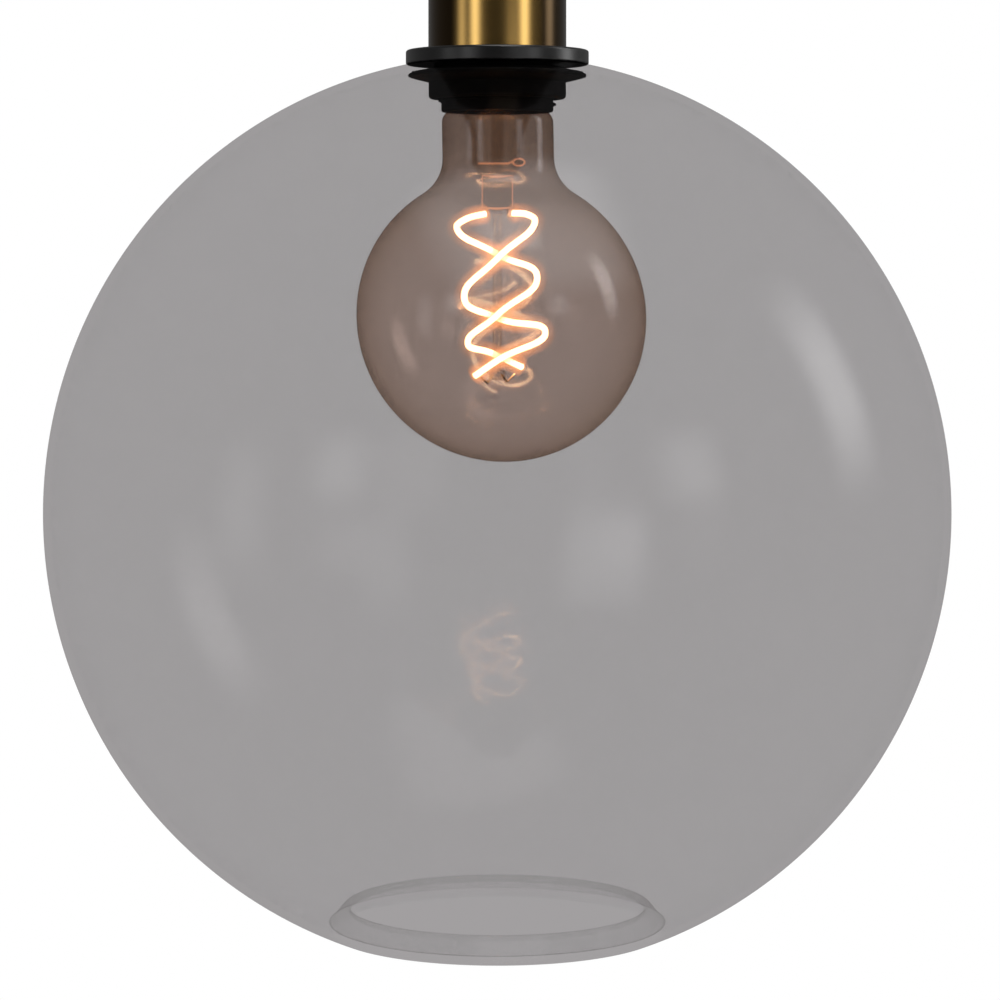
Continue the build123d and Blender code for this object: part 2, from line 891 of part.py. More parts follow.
with BuildPart() as driver_components:
    with BuildSketch(Plane.XZ.offset(-board_y)):
        with Locations(*[(x, at(board_bottom) + height) for x, height in chip_places]):
            Rectangle(*chip_size)
        with Locations((coil_place[0], at(board_bottom) + coil_place[1])):
            Rectangle(*coil_size)
    extrude(amount=component_height)
pieces["driver_components"] = driver_components

os.makedirs("parts", exist_ok=True)
for name, piece in pieces.items():
    piece.part.label = name
    export_step(piece.part, f"parts/{name}.step")
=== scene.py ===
# Pendant globe light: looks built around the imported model, in metres.
import bpy
import bmesh
import math
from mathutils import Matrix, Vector


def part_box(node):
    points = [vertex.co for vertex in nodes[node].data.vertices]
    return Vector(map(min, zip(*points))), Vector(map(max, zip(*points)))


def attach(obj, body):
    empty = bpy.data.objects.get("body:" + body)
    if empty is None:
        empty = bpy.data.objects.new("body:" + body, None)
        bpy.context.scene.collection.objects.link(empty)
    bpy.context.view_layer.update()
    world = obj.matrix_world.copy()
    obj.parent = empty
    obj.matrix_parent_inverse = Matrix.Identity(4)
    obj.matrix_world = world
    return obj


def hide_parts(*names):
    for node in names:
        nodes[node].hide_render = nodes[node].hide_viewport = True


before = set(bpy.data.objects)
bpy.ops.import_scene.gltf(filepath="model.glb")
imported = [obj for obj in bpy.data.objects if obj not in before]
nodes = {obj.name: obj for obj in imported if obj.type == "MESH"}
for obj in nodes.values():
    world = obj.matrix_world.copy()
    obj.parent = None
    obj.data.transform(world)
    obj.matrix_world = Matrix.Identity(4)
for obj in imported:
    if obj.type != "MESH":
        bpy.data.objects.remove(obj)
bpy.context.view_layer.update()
scene = bpy.context.scene
scene.view_settings.view_transform = "Standard"
scene.cycles.transparent_max_bounces = 40  # the nested glass walls are many surfaces deep

discAboveCentre = 0.1528  # from the globe's centre up to the disc's top
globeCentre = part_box("cover_disc")[1].z - discAboveCentre
lampLow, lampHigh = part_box("lamp_glass")
lampRadius = (lampHigh.x - lampLow.x) / 2
lampCentre = lampLow.z + lampRadius
print("frame loaded, globe centre at", round(globeCentre, 4))


camera = {
    "distance": 1.0635,  # from the light's axis
    "eyeAboveCentre": 0.082,
    "aside": 0.0009,
    "lens": 114.8,
    "sensor": 36.0,
    "shift": -0.2372,  # the lens looks level and takes in what is below
    "near": 0.05,
    "far": 200.0,
}


def makeCamera(size):
    data = bpy.data.cameras.new("studioCamera")
    data.lens = size["lens"]
    data.sensor_width = size["sensor"]
    data.shift_y = size["shift"]
    data.clip_start = size["near"]
    data.clip_end = size["far"]
    cam = bpy.data.objects.new("studioCamera", data)
    cam.location = (size["aside"], -size["distance"], globeCentre + size["eyeAboveCentre"])
    cam.rotation_euler = (math.radians(90), 0, 0)
    scene.collection.objects.link(cam)
    scene.camera = cam


makeCamera(camera)
print("camera placed")


colourA, colourB, colourMixed = 6, 7, 2  # a Mix node's colour sockets


def newMaterial(name):
    mat = bpy.data.materials.new(name)
    mat.use_nodes = True
    tree = mat.node_tree
    tree.nodes.clear()
    out = tree.nodes.new("ShaderNodeOutputMaterial")
    return mat, tree, out


def addNode(tree, kind, **values):
    node = tree.nodes.new(kind)
    for key, value in values.items():
        if hasattr(node, key):
            setattr(node, key, value)
        else:
            node.inputs[key.replace("_", " ")].default_value = value
    return node


def principled(tree, out, colour, **values):
    shader = tree.nodes.new("ShaderNodeBsdfPrincipled")
    shader.inputs["Base Color"].default_value = (*colour, 1)
    for key, value in values.items():
        shader.inputs[key.replace("_", " ")].default_value = value
    tree.links.new(shader.outputs[0], out.inputs["Surface"])
    return shader


def groupShell(name, ins, outs):
    group = bpy.data.node_groups.new(name, "ShaderNodeTree")
    for label, kind, value in ins:
        socket = group.interface.new_socket(name=label, in_out="INPUT", socket_type=kind)
        socket.default_value = value
    for label, kind in outs:
        group.interface.new_socket(name=label, in_out="OUTPUT", socket_type=kind)
    entry = group.nodes.new("NodeGroupInput")
    leave = group.nodes.new("NodeGroupOutput")
    return group, entry, leave


def makeFinishGroup():
    # Soft smudges and fine grain over a handled or coated surface.
    group, entry, leave = groupShell(
        "finishVariation",
        [
            ("Colour", "NodeSocketColor", (0.5, 0.5, 0.5, 1)),
            ("Roughness", "NodeSocketFloat", 0.4),
            ("Smudge Scale", "NodeSocketFloat", 60.0),
            ("Grain Scale", "NodeSocketFloat", 2500.0),
            ("Amount", "NodeSocketFloat", 0.1),
        ],
        [
            ("Colour", "NodeSocketColor"),
            ("Roughness", "NodeSocketFloat"),
            ("Grain", "NodeSocketFloat"),
        ],
    )
    nodesIn, links = group.nodes, group.links
    place = nodesIn.new("ShaderNodeTexCoord")
    smudge = nodesIn.new("ShaderNodeTexNoise")
    smudge.inputs["Detail"].default_value = 4
    grain = nodesIn.new("ShaderNodeTexNoise")
    grain.inputs["Detail"].default_value = 2
    links.new(place.outputs["Object"], smudge.inputs["Vector"])
    links.new(place.outputs["Object"], grain.inputs["Vector"])
    links.new(entry.outputs["Smudge Scale"], smudge.inputs["Scale"])
    links.new(entry.outputs["Grain Scale"], grain.inputs["Scale"])
    centred = addNode(group, "ShaderNodeMath", operation="SUBTRACT")
    centred.inputs[1].default_value = 0.5
    links.new(smudge.outputs["Fac"], centred.inputs[0])
    scaled = addNode(group, "ShaderNodeMath", operation="MULTIPLY")
    links.new(centred.outputs[0], scaled.inputs[0])
    links.new(entry.outputs["Amount"], scaled.inputs[1])
    rough = addNode(group, "ShaderNodeMath", operation="ADD", use_clamp=True)
    links.new(scaled.outputs[0], rough.inputs[0])
    links.new(entry.outputs["Roughness"], rough.inputs[1])
    shade = nodesIn.new("ShaderNodeHueSaturation")
    value = addNode(group, "ShaderNodeMath", operation="ADD")
    value.inputs[1].default_value = 1.0
    links.new(scaled.outputs[0], value.inputs[0])
    links.new(value.outputs[0], shade.inputs["Value"])
    links.new(entry.outputs["Colour"], shade.inputs["Color"])
    links.new(shade.outputs[0], leave.inputs["Colour"])
    links.new(rough.outputs[0], leave.inputs["Roughness"])
    links.new(grain.outputs["Fac"], leave.inputs["Grain"])
    return group


finishGroup = makeFinishGroup()


def makeTurnedGroup():
    # Fine rings left by spinning, square to the light's axis.
    group, entry, leave = groupShell(
        "turnedLines",
        [("Lines", "NodeSocketFloat", 3000.0), ("Around", "NodeSocketFloat", 6.0)],
        [("Height", "NodeSocketFloat")],
    )
    place = group.nodes.new("ShaderNodeTexCoord")
    stretch = group.nodes.new("ShaderNodeVectorMath")
    stretch.operation = "MULTIPLY"
    factors = group.nodes.new("ShaderNodeCombineXYZ")
    lines = group.nodes.new("ShaderNodeTexNoise")
    lines.inputs["Scale"].default_value = 1.0
    lines.inputs["Detail"].default_value = 3
    group.links.new(entry.outputs["Around"], factors.inputs[0])
    group.links.new(entry.outputs["Around"], factors.inputs[1])
    group.links.new(entry.outputs["Lines"], factors.inputs[2])
    group.links.new(place.outputs["Object"], stretch.inputs[0])
    group.links.new(factors.outputs[0], stretch.inputs[1])
    group.links.new(stretch.outputs[0], lines.inputs["Vector"])
    group.links.new(lines.outputs["Fac"], leave.inputs["Height"])
    return group


turnedGroup = makeTurnedGroup()


def makeSheenGroup():
    # Share of light that polished glass mirrors, the same from either side of a thin wall.
    group, entry, leave = groupShell(
        "thinWallMirror",
        [
            ("Facing", "NodeSocketFloat", 0.0),
            ("Head On", "NodeSocketFloat", 0.04),
            ("Most", "NodeSocketFloat", 0.5),
        ],
        [("Share", "NodeSocketFloat")],
    )
    power = addNode(group, "ShaderNodeMath", operation="POWER")
    power.inputs[1].default_value = 5.0
    group.links.new(entry.outputs["Facing"], power.inputs[0])
    grow = addNode(group, "ShaderNodeMath", operation="MULTIPLY")
    group.links.new(power.outputs[0], grow.inputs[0])
    group.links.new(entry.outputs["Most"], grow.inputs[1])
    total = addNode(group, "ShaderNodeMath", operation="ADD", use_clamp=True)
    group.links.new(grow.outputs[0], total.inputs[0])
    group.links.new(entry.outputs["Head On"], total.inputs[1])
    group.links.new(total.outputs[0], leave.inputs["Share"])
    return group


sheenGroup = makeSheenGroup()


def makeWallTintGroup():
    # Colour that blends by how squarely a surface is seen: a thin tinted wall, paler seen square on
    # and deeper seen aslant; the brass uses it for painted shade on its sides.
    group, entry, leave = groupShell(
        "thinWallTintAndPaintedShade",
        [
            ("Facing", "NodeSocketFloat", 0.0),
            ("Square On", "NodeSocketColor", (1, 1, 1, 1)),
            ("Aslant", "NodeSocketColor", (1, 1, 1, 1)),
            ("Sharpness", "NodeSocketFloat", 2.0),
        ],
        [("Colour", "NodeSocketColor")],
    )
    bend = addNode(group, "ShaderNodeMath", operation="POWER", use_clamp=True)
    group.links.new(entry.outputs["Facing"], bend.inputs[0])
    group.links.new(entry.outputs["Sharpness"], bend.inputs[1])
    blend = addNode(group, "ShaderNodeMix", data_type="RGBA")
    group.links.new(bend.outputs[0], blend.inputs["Factor"])
    group.links.new(entry.outputs["Square On"], blend.inputs[colourA])
    group.links.new(entry.outputs["Aslant"], blend.inputs[colourB])
    group.links.new(blend.outputs[colourMixed], leave.inputs["Colour"])
    return group


tintAndPaintedShadeGroup = makeWallTintGroup()


def placeGroup(tree, group, **values):
    node = tree.nodes.new("ShaderNodeGroup")
    node.node_tree = group
    for key, value in values.items():
        node.inputs[key.replace("_", " ")].default_value = value
    return node


def thinGlass(name, look):
    # Blown glass: a line of sight is tinted where it goes in, and again where it leaves.
    mat, tree, out = newMaterial(name)
    angle = tree.nodes.new("ShaderNodeLayerWeight")
    angle.inputs["Blend"].default_value = 0.5
    deeper = None
    if look.get("deepens"):
        # the tint gathers from the ball up to the cap
        place = tree.nodes.new("ShaderNodeTexCoord")
        parts = tree.nodes.new("ShaderNodeSeparateXYZ")
        tree.links.new(place.outputs["Object"], parts.inputs[0])
        reach = addNode(tree, "ShaderNodeMapRange", interpolation_type="SMOOTHSTEP")
        reach.inputs["From Min"].default_value = lampCentre + look["deepens"]["from"]
        reach.inputs["From Max"].default_value = lampCentre + look["deepens"]["to"]
        tree.links.new(parts.outputs["Z"], reach.inputs["Value"])
        tone = (*look["deepens"]["tone"], 1)
        deeper = placeGroup(tree, tintAndPaintedShadeGroup, Aslant=tone, Sharpness=1.0)
        tree.links.new(reach.outputs[0], deeper.inputs["Facing"])
    clear = {}
    for side in ("towards", "away"):
        square, aslant = look[side]
        clear[side] = tree.nodes.new("ShaderNodeBsdfTransparent")
        if square == aslant:
            clear[side].inputs["Color"].default_value = (*square, 1)
            continue
        tint = placeGroup(
            tree,
            tintAndPaintedShadeGroup,
            Square_On=(*square, 1),
            Aslant=(*aslant, 1),
            Sharpness=look["sharpness"],
        )
        tree.links.new(angle.outputs["Facing"], tint.inputs["Facing"])
        if deeper:
            both = addNode(tree, "ShaderNodeMix", data_type="RGBA", blend_type="MULTIPLY")
            both.inputs["Factor"].default_value = 1.0
            tree.links.new(tint.outputs[0], both.inputs[colourA])
            tree.links.new(deeper.outputs[0], both.inputs[colourB])
            tree.links.new(both.outputs[colourMixed], clear[side].inputs["Color"])
        else:
            tree.links.new(tint.outputs[0], clear[side].inputs["Color"])
    surface = tree.nodes.new("ShaderNodeNewGeometry")
    body = tree.nodes.new("ShaderNodeMixShader")
    tree.links.new(surface.outputs["Backfacing"], body.inputs[0])
    tree.links.new(clear["towards"].outputs[0], body.inputs[1])
    tree.links.new(clear["away"].outputs[0], body.inputs[2])
    gloss = addNode(tree, "ShaderNodeBsdfGlossy", Color=(1, 1, 1, 1), Roughness=look["roughness"])
    share = placeGroup(tree, sheenGroup, Head_On=look["headOn"], Most=look["most"])
    tree.links.new(angle.outputs["Facing"], share.inputs["Facing"])
    mix = tree.nodes.new("ShaderNodeMixShader")
    tree.links.new(share.outputs[0], mix.inputs[0])
    tree.links.new(body.outputs[0], mix.inputs[1])
    tree.links.new(gloss.outputs[0], mix.inputs[2])
    tree.links.new(mix.outputs[0], out.inputs["Surface"])
    return mat


def coatedFinish(name, look):
    mat, tree, out = newMaterial(name)
    shader = principled(
        tree,
        out,
        look["colour"],
        Metallic=look.get("metallic", 0.0),
        Specular_IOR_Level=look.get("specular", 0.5),
    )
    vary = placeGroup(
        tree,
        finishGroup,
        Colour=(*look["colour"], 1),
        Roughness=look["roughness"],
        Smudge_Scale=look.get("smudgeScale", 60.0),
        Grain_Scale=look.get("grainScale", 2500.0),
        Amount=look.get("amount", 0.1),
    )
    bump = addNode(tree, "ShaderNodeBump", Strength=look.get("grain", 0.05), Distance=0.0002)
    tree.links.new(vary.outputs["Colour"], shader.inputs["Base Color"])
    # Painted shade: the base colour darkens towards the aslant colour where the surface turns away
    # from the viewer.
    if look.get("aslant"):
        angle = addNode(tree, "ShaderNodeLayerWeight", Blend=0.5)
        turn = addNode(tree, "ShaderNodeMapRange", interpolation_type="SMOOTHSTEP")
        turn.inputs["From Min"].default_value = look["turnsFrom"]
        turn.inputs["From Max"].default_value = look["turnsTo"]
        paintedSideShade = placeGroup(tree, tintAndPaintedShadeGroup, Aslant=(*look["aslant"], 1), Sharpness=1.0)
        tree.links.new(angle.outputs["Facing"], turn.inputs["Value"])
        tree.links.new(turn.outputs[0], paintedSideShade.inputs["Facing"])
        tree.links.new(vary.outputs["Colour"], paintedSideShade.inputs["Square On"])
        tree.links.new(paintedSideShade.outputs[0], shader.inputs["Base Color"])
    tree.links.new(vary.outputs["Roughness"], shader.inputs["Roughness"])
    tree.links.new(bump.outputs[0], shader.inputs["Normal"])
    if look.get("turned"):
        lines = placeGroup(tree, turnedGroup, Lines=look["turned"], Around=look.get("around", 6.0))
        tree.links.new(lines.outputs[0], bump.inputs["Height"])
    else:
        tree.links.new(vary.outputs["Grain"], bump.inputs["Height"])
    return mat


glassLooks = {
    "globeOuter": {
        "towards": [(0.368, 0.355, 0.359), (0.368, 0.355, 0.359)],
        "away": [(0.97, 0.97, 0.97), (0.97, 0.97, 0.97)],
        "headOn": 0.022,
        "most": 0.03,
        "roughness": 0.04,
    },
    "globeInner": {
        "towards": [(1, 1, 1), (1, 1, 1)],
        "away": [(1, 1, 1), (1, 1, 1)],
        "headOn": 0.008,
        "most": 0.02,
        "roughness": 0.06,
    },
    "lipUpper": {
        "towards": [(0.70, 0.69, 0.69), (0.80, 0.79, 0.79)],
        "away": [(1, 1, 1), (1, 1, 1)],
        "sharpness": 1.2,
        "headOn": 0.02,
        "most": 0.06,
        "roughness": 0.05,
    },
    "lipLower": {
        "towards": [(1, 1, 1), (1, 1, 1)],
        "away": [(1, 1, 1), (1, 1, 1)],
        "headOn": 0.01,
        "most": 0.04,
        "roughness": 0.05,
    },
    "lipEdge": {
        "towards": [(0.92, 0.92, 0.92), (0.86, 0.85, 0.85)],
        "away": [(0.96, 0.96, 0.96), (0.90, 0.89, 0.89)],
        "sharpness": 1.5,
        "headOn": 0.02,
        "most": 0.10,
        "roughness": 0.05,
    },
    # Painted shade: the glass round the neck hole, between the disc and the ring, is tinted near
    # black.
    "globeNeckShade": {
        "towards": [(0.06, 0.055, 0.055), (0.05, 0.045, 0.045)],
        "away": [(0.08, 0.075, 0.075), (0.08, 0.075, 0.075)],
        "sharpness": 1.0,
        "headOn": 0.02,
        "most": 0.05,
        "roughness": 0.08,
    },
    "lampOuter": {
        "towards": [(0.90, 0.80, 0.745), (0.68, 0.54, 0.44)],
        "away": [(0.92, 0.82, 0.765), (0.70, 0.56, 0.46)],
        "deepens": {"from": 0.026, "to": 0.064, "tone": (0.70, 0.66, 0.63)},
        "sharpness": 1.9,
        "headOn": 0.085,
        "most": 0.25,
        "roughness": 0.03,
    },
    "lampInner": {
        "towards": [(1, 1, 1), (1, 1, 1)],
        "away": [(1, 1, 1), (1, 1, 1)],
        "headOn": 0.03,
        "most": 0.05,
        "roughness": 0.08,
    },
    "stemGlass": {
        "towards": [(0.97, 0.94, 0.91), (0.74, 0.58, 0.45)],
        "away": [(0.97, 0.94, 0.91), (0.74, 0.58, 0.45)],
        "sharpness": 3.0,
        "headOn": 0.03,
        "most": 0.12,
        "roughness": 0.02,
    },
}
finishes = {name: thinGlass(name, look) for name, look in glassLooks.items()}

coatedLooks = {
    "antiqueBrass": {
        "colour": (0.96, 0.60, 0.19),
        # the aslant colour and the turn range below are painted shade on the brass's sides
        "aslant": (0.07, 0.045, 0.022),
        "turnsFrom": 0.10,
        "turnsTo": 0.27,
        "metallic": 1.0,
        "roughness": 0.22,
        "amount": 0.03,
        "grain": 0.012,
        "turned": 2600.0,
        "around": 20.0,
    },
    "blackCoat": {
        "colour": (0.016, 0.016, 0.016),
        "roughness": 0.32,
        "specular": 0.9,
        "grain": 0.1,
    },
    "blackMoulded": {
        "colour": (0.018, 0.016, 0.0155),
        "roughness": 0.70,
        "specular": 0.08,
        "grain": 0.3,
        "grainScale": 1800.0,
    },
    "nylon": {"colour": (0.78, 0.76, 0.70), "roughness": 0.45, "grain": 0.1},
    "zincSteel": {"colour": (0.60, 0.61, 0.63), "metallic": 1.0, "roughness": 0.3},
    "nickelPlate": {"colour": (0.72, 0.69, 0.63), "metallic": 1.0, "roughness": 0.22},
    "contactBrass": {"colour": (0.80, 0.60, 0.28), "metallic": 1.0, "roughness": 0.28},
    "steatite": {"colour": (0.82, 0.79, 0.72), "roughness": 0.75, "grain": 0.4},
    "blackSilicone": {"colour": (0.02, 0.02, 0.02), "roughness": 0.7, "grain": 0.2},
    "blackVitrite": {"colour": (0.012, 0.012, 0.014), "roughness": 0.12},
    "board": {"colour": (0.78, 0.78, 0.74), "roughness": 0.4, "grain": 0.15},
    "component": {"colour": (0.03, 0.03, 0.03), "roughness": 0.5, "grain": 0.3},
    "wire": {"colour": (0.72, 0.62, 0.52), "metallic": 1.0, "roughness": 0.25},
}
for name, look in coatedLooks.items():
    finishes[name] = coatedFinish(name, look)


def litCore(look):
    # The lit middle of a strand: near white, yellower where its round side turns away.
    mat, tree, out = newMaterial("litCore")
    shader = principled(tree, out, look["body"], Roughness=0.5)
    shader.inputs["Emission Strength"].default_value = look["strength"]
    angle = tree.nodes.new("ShaderNodeLayerWeight")
    angle.inputs["Blend"].default_value = 0.4
    ramp = tree.nodes.new("ShaderNodeValToRGB")
    ramp.color_ramp.elements[0].position = 0.2
    ramp.color_ramp.elements[0].color = (*look["core"], 1)
    ramp.color_ramp.elements[1].position = 0.9
    ramp.color_ramp.elements[1].color = (*look["edge"], 1)
    tree.links.new(angle.outputs["Facing"], ramp.inputs[0])
    tree.links.new(ramp.outputs[0], shader.inputs["Emission Color"])
    return mat


def litSleeve(look):
    # The clear silicone coat round the lit middle, glowing orange and fading towards its outline.
    mat, tree, out = newMaterial("litSleeve")
    colour = (*look["colour"], 1)
    glow = addNode(tree, "ShaderNodeEmission", Color=colour, Strength=look["strength"])
    clear = addNode(tree, "ShaderNodeBsdfTransparent", Color=(1, 1, 1, 1))
    angle = tree.nodes.new("ShaderNodeLayerWeight")
    angle.inputs["Blend"].default_value = 0.5
    inward = addNode(tree, "ShaderNodeMath", operation="SUBTRACT")
    inward.inputs[0].default_value = 1.0
    fade = addNode(tree, "ShaderNodeMath", operation="POWER")
    fade.inputs[1].default_value = look["fade"]
    amount = addNode(tree, "ShaderNodeMath", operation="MULTIPLY", use_clamp=True)
    amount.inputs[1].default_value = look["most"]
    tree.links.new(angle.outputs["Facing"], inward.inputs[1])
    tree.links.new(inward.outputs[0], fade.inputs[0])
    tree.links.new(fade.outputs[0], amount.inputs[0])
    mix = tree.nodes.new("ShaderNodeMixShader")
    tree.links.new(amount.outputs[0], mix.inputs[0])
    tree.links.new(clear.outputs[0], mix.inputs[1])
    tree.links.new(glow.outputs[0], mix.inputs[2])
    tree.links.new(mix.outputs[0], out.inputs["Surface"])
    return mat


finishes["litCore"] = litCore(
    {
        "body": (0.9, 0.62, 0.25),
        "core": (1.0, 0.78, 0.46),
        "edge": (1.0, 0.50, 0.18),
        "strength": 16.0,
    }
)
finishes["litSleeve"] = litSleeve(
    {"colour": (1.0, 0.42, 0.17), "strength": 5.0, "fade": 2.8, "most": 0.42}
)
print("finishes made:", len(finishes))


onAxis = 1e-6  # a point of an outline that is nearer the axis than this becomes a pole


def lathe(name, outline, steps, finishNames, closed=True):
    # Turns (radius, z, finish index) points about the light's axis.
    mesh = bpy.data.meshes.new(name)
    shape = bmesh.new()
    rings = []
    for radius, z, _ in outline:
        if radius < onAxis:
            rings.append([shape.verts.new((0, 0, z))])
            continue
        rings.append(
            [
                shape.verts.new(
                    (
                        radius * math.cos(2 * math.pi * k / steps),
                        radius * math.sin(2 * math.pi * k / steps),
                        z,
                    )
                )
                for k in range(steps)
            ]
        )
    last = len(rings) if closed else len(rings) - 1
    for row in range(last):
        lower, upper = rings[row], rings[(row + 1) % len(rings)]
        index = outline[row][2]
        for k in range(steps):
            following = (k + 1) % steps
            corners = [
                lower[k % len(lower)],
                lower[following % len(lower)],
                upper[following % len(upper)],
                upper[k % len(upper)],
            ]
            unique = list(dict.fromkeys(corners))
            face = shape.faces.new(unique)
            face.smooth = True
            face.material_index = index
    bmesh.ops.recalc_face_normals(shape, faces=shape.faces)
    shape.to_mesh(mesh)
    shape.free()
    piece = bpy.data.objects.new(name, mesh)
    scene.collection.objects.link(piece)
    for finish in finishNames:
        mesh.materials.append(finishes[finish])
    return piece


def arcPoints(centre, radius, fromAngle, toAngle, count, index):
    # Points on an arc in the radius and height plane, angles in degrees.
    points = []
    for k in range(count + 1):
        angle = math.radians(fromAngle + (toAngle - fromAngle) * k / count)
        points.append(
            (centre[0] + radius * math.cos(angle), centre[1] + radius * math.sin(angle), index)
        )
    return points


def roundedPath(corners, index):
    # Polyline of (radius, z, rounding) corners; each inner corner becomes an arc.
    points = [(corners[0][0], corners[0][1], index)]
    for before, corner, after in zip(corners, corners[1:], corners[2:]):
        here = Vector(corner[:2])
        back = (Vector(before[:2]) - here).normalized()
        ahead = (Vector(after[:2]) - here).normalized()
        rounding = corner[2]
        half = back.angle(ahead) / 2
        reach = rounding / math.tan(half)
        centre = here + (back + ahead).normalized() * (rounding / math.sin(half))
        start, end = here + back * reach, here + ahead * reach
        steps = 8
        for k in range(steps + 1):
            blend = k / steps
            spoke = (start - centre).lerp(end - centre, blend).normalized() * rounding
            points.append((centre.x + spoke.x, centre.y + spoke.y, index))
    points.append((corners[-1][0], corners[-1][1], index))
    return points


# Glass globe: outer and inner skin, the lip folded in below, and the neck hole.
globe = {
    "radius": 0.150,
    "halfHeight": 0.151,
    "wall": 0.0026,
    "neckHole": 0.0210,
    "neckRound": 0.0009,
    "neckShadeRadius": 0.0288,  # the ring and the disc grip the wall inside this; there the glass is painted near black as shade
    "foldRadius": 0.0545,
    "lipRadius": 0.0483,
    "lipHeight": -0.1329,
    "lipThick": 0.0028,
    "foldRound": 0.0020,
    "lipRound": 0.0013,
    "foldWidth": 0.0015,  # the ball's section ends this far outside the fold
    "foldSetback": 0.00035,
    "cornerRound": 0.0006,
    "neckBevel": 0.0002,
    "steps": 256,
    "rows": 192,
}


def ellipseHeight(size, radius, inset):
    across = (radius / (size["radius"] - inset)) ** 2
    return (size["halfHeight"] - inset) * math.sqrt(1 - across)


def ellipseRows(size, inset, topRadius, bottomRadius, index):
    # From the neck down round the widest place to the fold.
    a = size["radius"] - inset
    b = size["halfHeight"] - inset
    start = math.acos(topRadius / a)
    end = -math.acos(bottomRadius / a)
    points = []
    for k in range(size["rows"] + 1):
        angle = start + (end - start) * k / size["rows"]
        points.append((a * math.cos(angle), globeCentre + b * math.sin(angle), index))
    return points


def makeGlobe(size):
    finishNames = ["globeOuter", "globeInner", "lipUpper", "lipLower", "lipEdge", "globeNeckShade"]
    outside, inside, lipUpper, lipLower, lipEdge, neckShade = range(len(finishNames))
    wallEnd = size["foldRadius"] + size["foldWidth"]
    wall = size["wall"]
    neckRound = size["neckRound"]
    outer = [
        (r, z, neckShade if r < size["neckShadeRadius"] and z > globeCentre else outside)
        for r, z, _ in ellipseRows(size, 0, size["neckHole"] + neckRound, wallEnd, outside)
    ]
    inner = ellipseRows(size, wall, size["neckHole"] + neckRound, wallEnd, inside)
    rise = size["lipHeight"] + ellipseHeight(size, size["foldRadius"], 0)
    run = size["foldRadius"] - size["lipRadius"]
    length = math.hypot(rise, run)
    shiftR = size["lipThick"] * rise / length
    shiftZ = size["lipThick"] * run / length
    lipZ = globeCentre + size["lipHeight"]
    foldZ = globeCentre - ellipseHeight(size, size["foldRadius"], 0)
    cornerR = wallEnd - size["foldSetback"]
    fold = roundedPath(
        [
            (outer[-1][0], outer[-1][1], 0),
            (size["foldRadius"], foldZ, size["foldRound"]),
            (size["lipRadius"], lipZ, size["lipRound"]),
            (size["lipRadius"] + shiftR, lipZ + shiftZ, size["lipRound"]),
            (cornerR, globeCentre - ellipseHeight(size, cornerR, wall), size["cornerRound"]),
            (inner[-1][0], inner[-1][1], 0),
        ],
        lipUpper,
    )

    def lipFinish(r, z):
        along = (-(r - size["foldRadius"]) * run + (z - foldZ) * rise) / length
        across = ((r - size["foldRadius"]) * rise + (z - foldZ) * run) / length
        upper = across > size["lipThick"] / 2
        if along < 0:
            return inside if upper else outside
        if along > length - size["lipRound"]:
            return lipEdge
        return lipUpper if upper else lipLower

    fold = [(r, z, lipFinish(r, z)) for r, z, _ in fold]
    top = outer[0]
    under = inner[0]
    neck = roundedPath(
        [
            (under[0], under[1], 0),
            (size["neckHole"], under[1] + size["neckBevel"], neckRound),
            (size["neckHole"], top[1] - size["neckBevel"], neckRound),
            (top[0], top[1], 0),
        ],
        neckShade,
    )
    outline = outer[:-1] + fold[:-1] + list(reversed(inner)) + neck[1:-1]
    piece = lathe("globeGlass", outline, size["steps"], finishNames)
    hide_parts("glass_globe")
    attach(piece, "globe")


makeGlobe(globe)
print("globe made")


# Lamp glass: a ball with a neck that flares into it.
lamp = {
    "wall": 0.0009,
    "neckRadius": 0.0186,
    "flare": 0.014,
    "shoulder": 0.0046,
    "mouth": 0.0129,
    "lean": 0.0195,  # sideways for each unit down from the cap
    "steps": 192,
    "rows": 64,
    "flareRows": 16,
    "shoulderRows": 10,
}


def lampOutline(size, inset, index):
    radius = lampRadius - inset
    neck = size["neckRadius"] - inset
    flare = size["flare"] + inset
    top = lampHigh.z
    offset = neck + flare
    flareZ = lampCentre + math.sqrt((radius + flare) ** 2 - offset**2)
    meet = math.degrees(math.atan2(flareZ - lampCentre, offset))
    ball = arcPoints((0, lampCentre), radius, -90, meet, size["rows"], index)
    hollow = arcPoints((offset, flareZ), flare, 180 + meet, 180, size["flareRows"], index)
    shoulder = size["shoulder"] - inset
    shoulderAt = (neck - shoulder, top - shoulder - inset)
    edge = arcPoints(shoulderAt, shoulder, 0, 90, size["shoulderRows"], index)
    return ball + hollow[1:] + edge


def makeLampGlass(size):
    outer = lampOutline(size, 0, 0)
    inner = lampOutline(size, size["wall"], 1)
    mouthTop = (size["mouth"], outer[-1][1], 0)
    mouthUnder = (size["mouth"], inner[-1][1], 1)
    outline = outer + [mouthTop, mouthUnder] + list(reversed(inner))
    piece = lathe("lampGlass", outline, size["steps"], ["lampOuter", "lampInner"], closed=False)
    for vert in piece.data.vertices:
        vert.co.x += (lampHigh.z - vert.co.z) * size["lean"]
    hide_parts("lamp_glass")
    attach(piece, "lamp")


makeLampGlass(lamp)
print("lamp glass made")


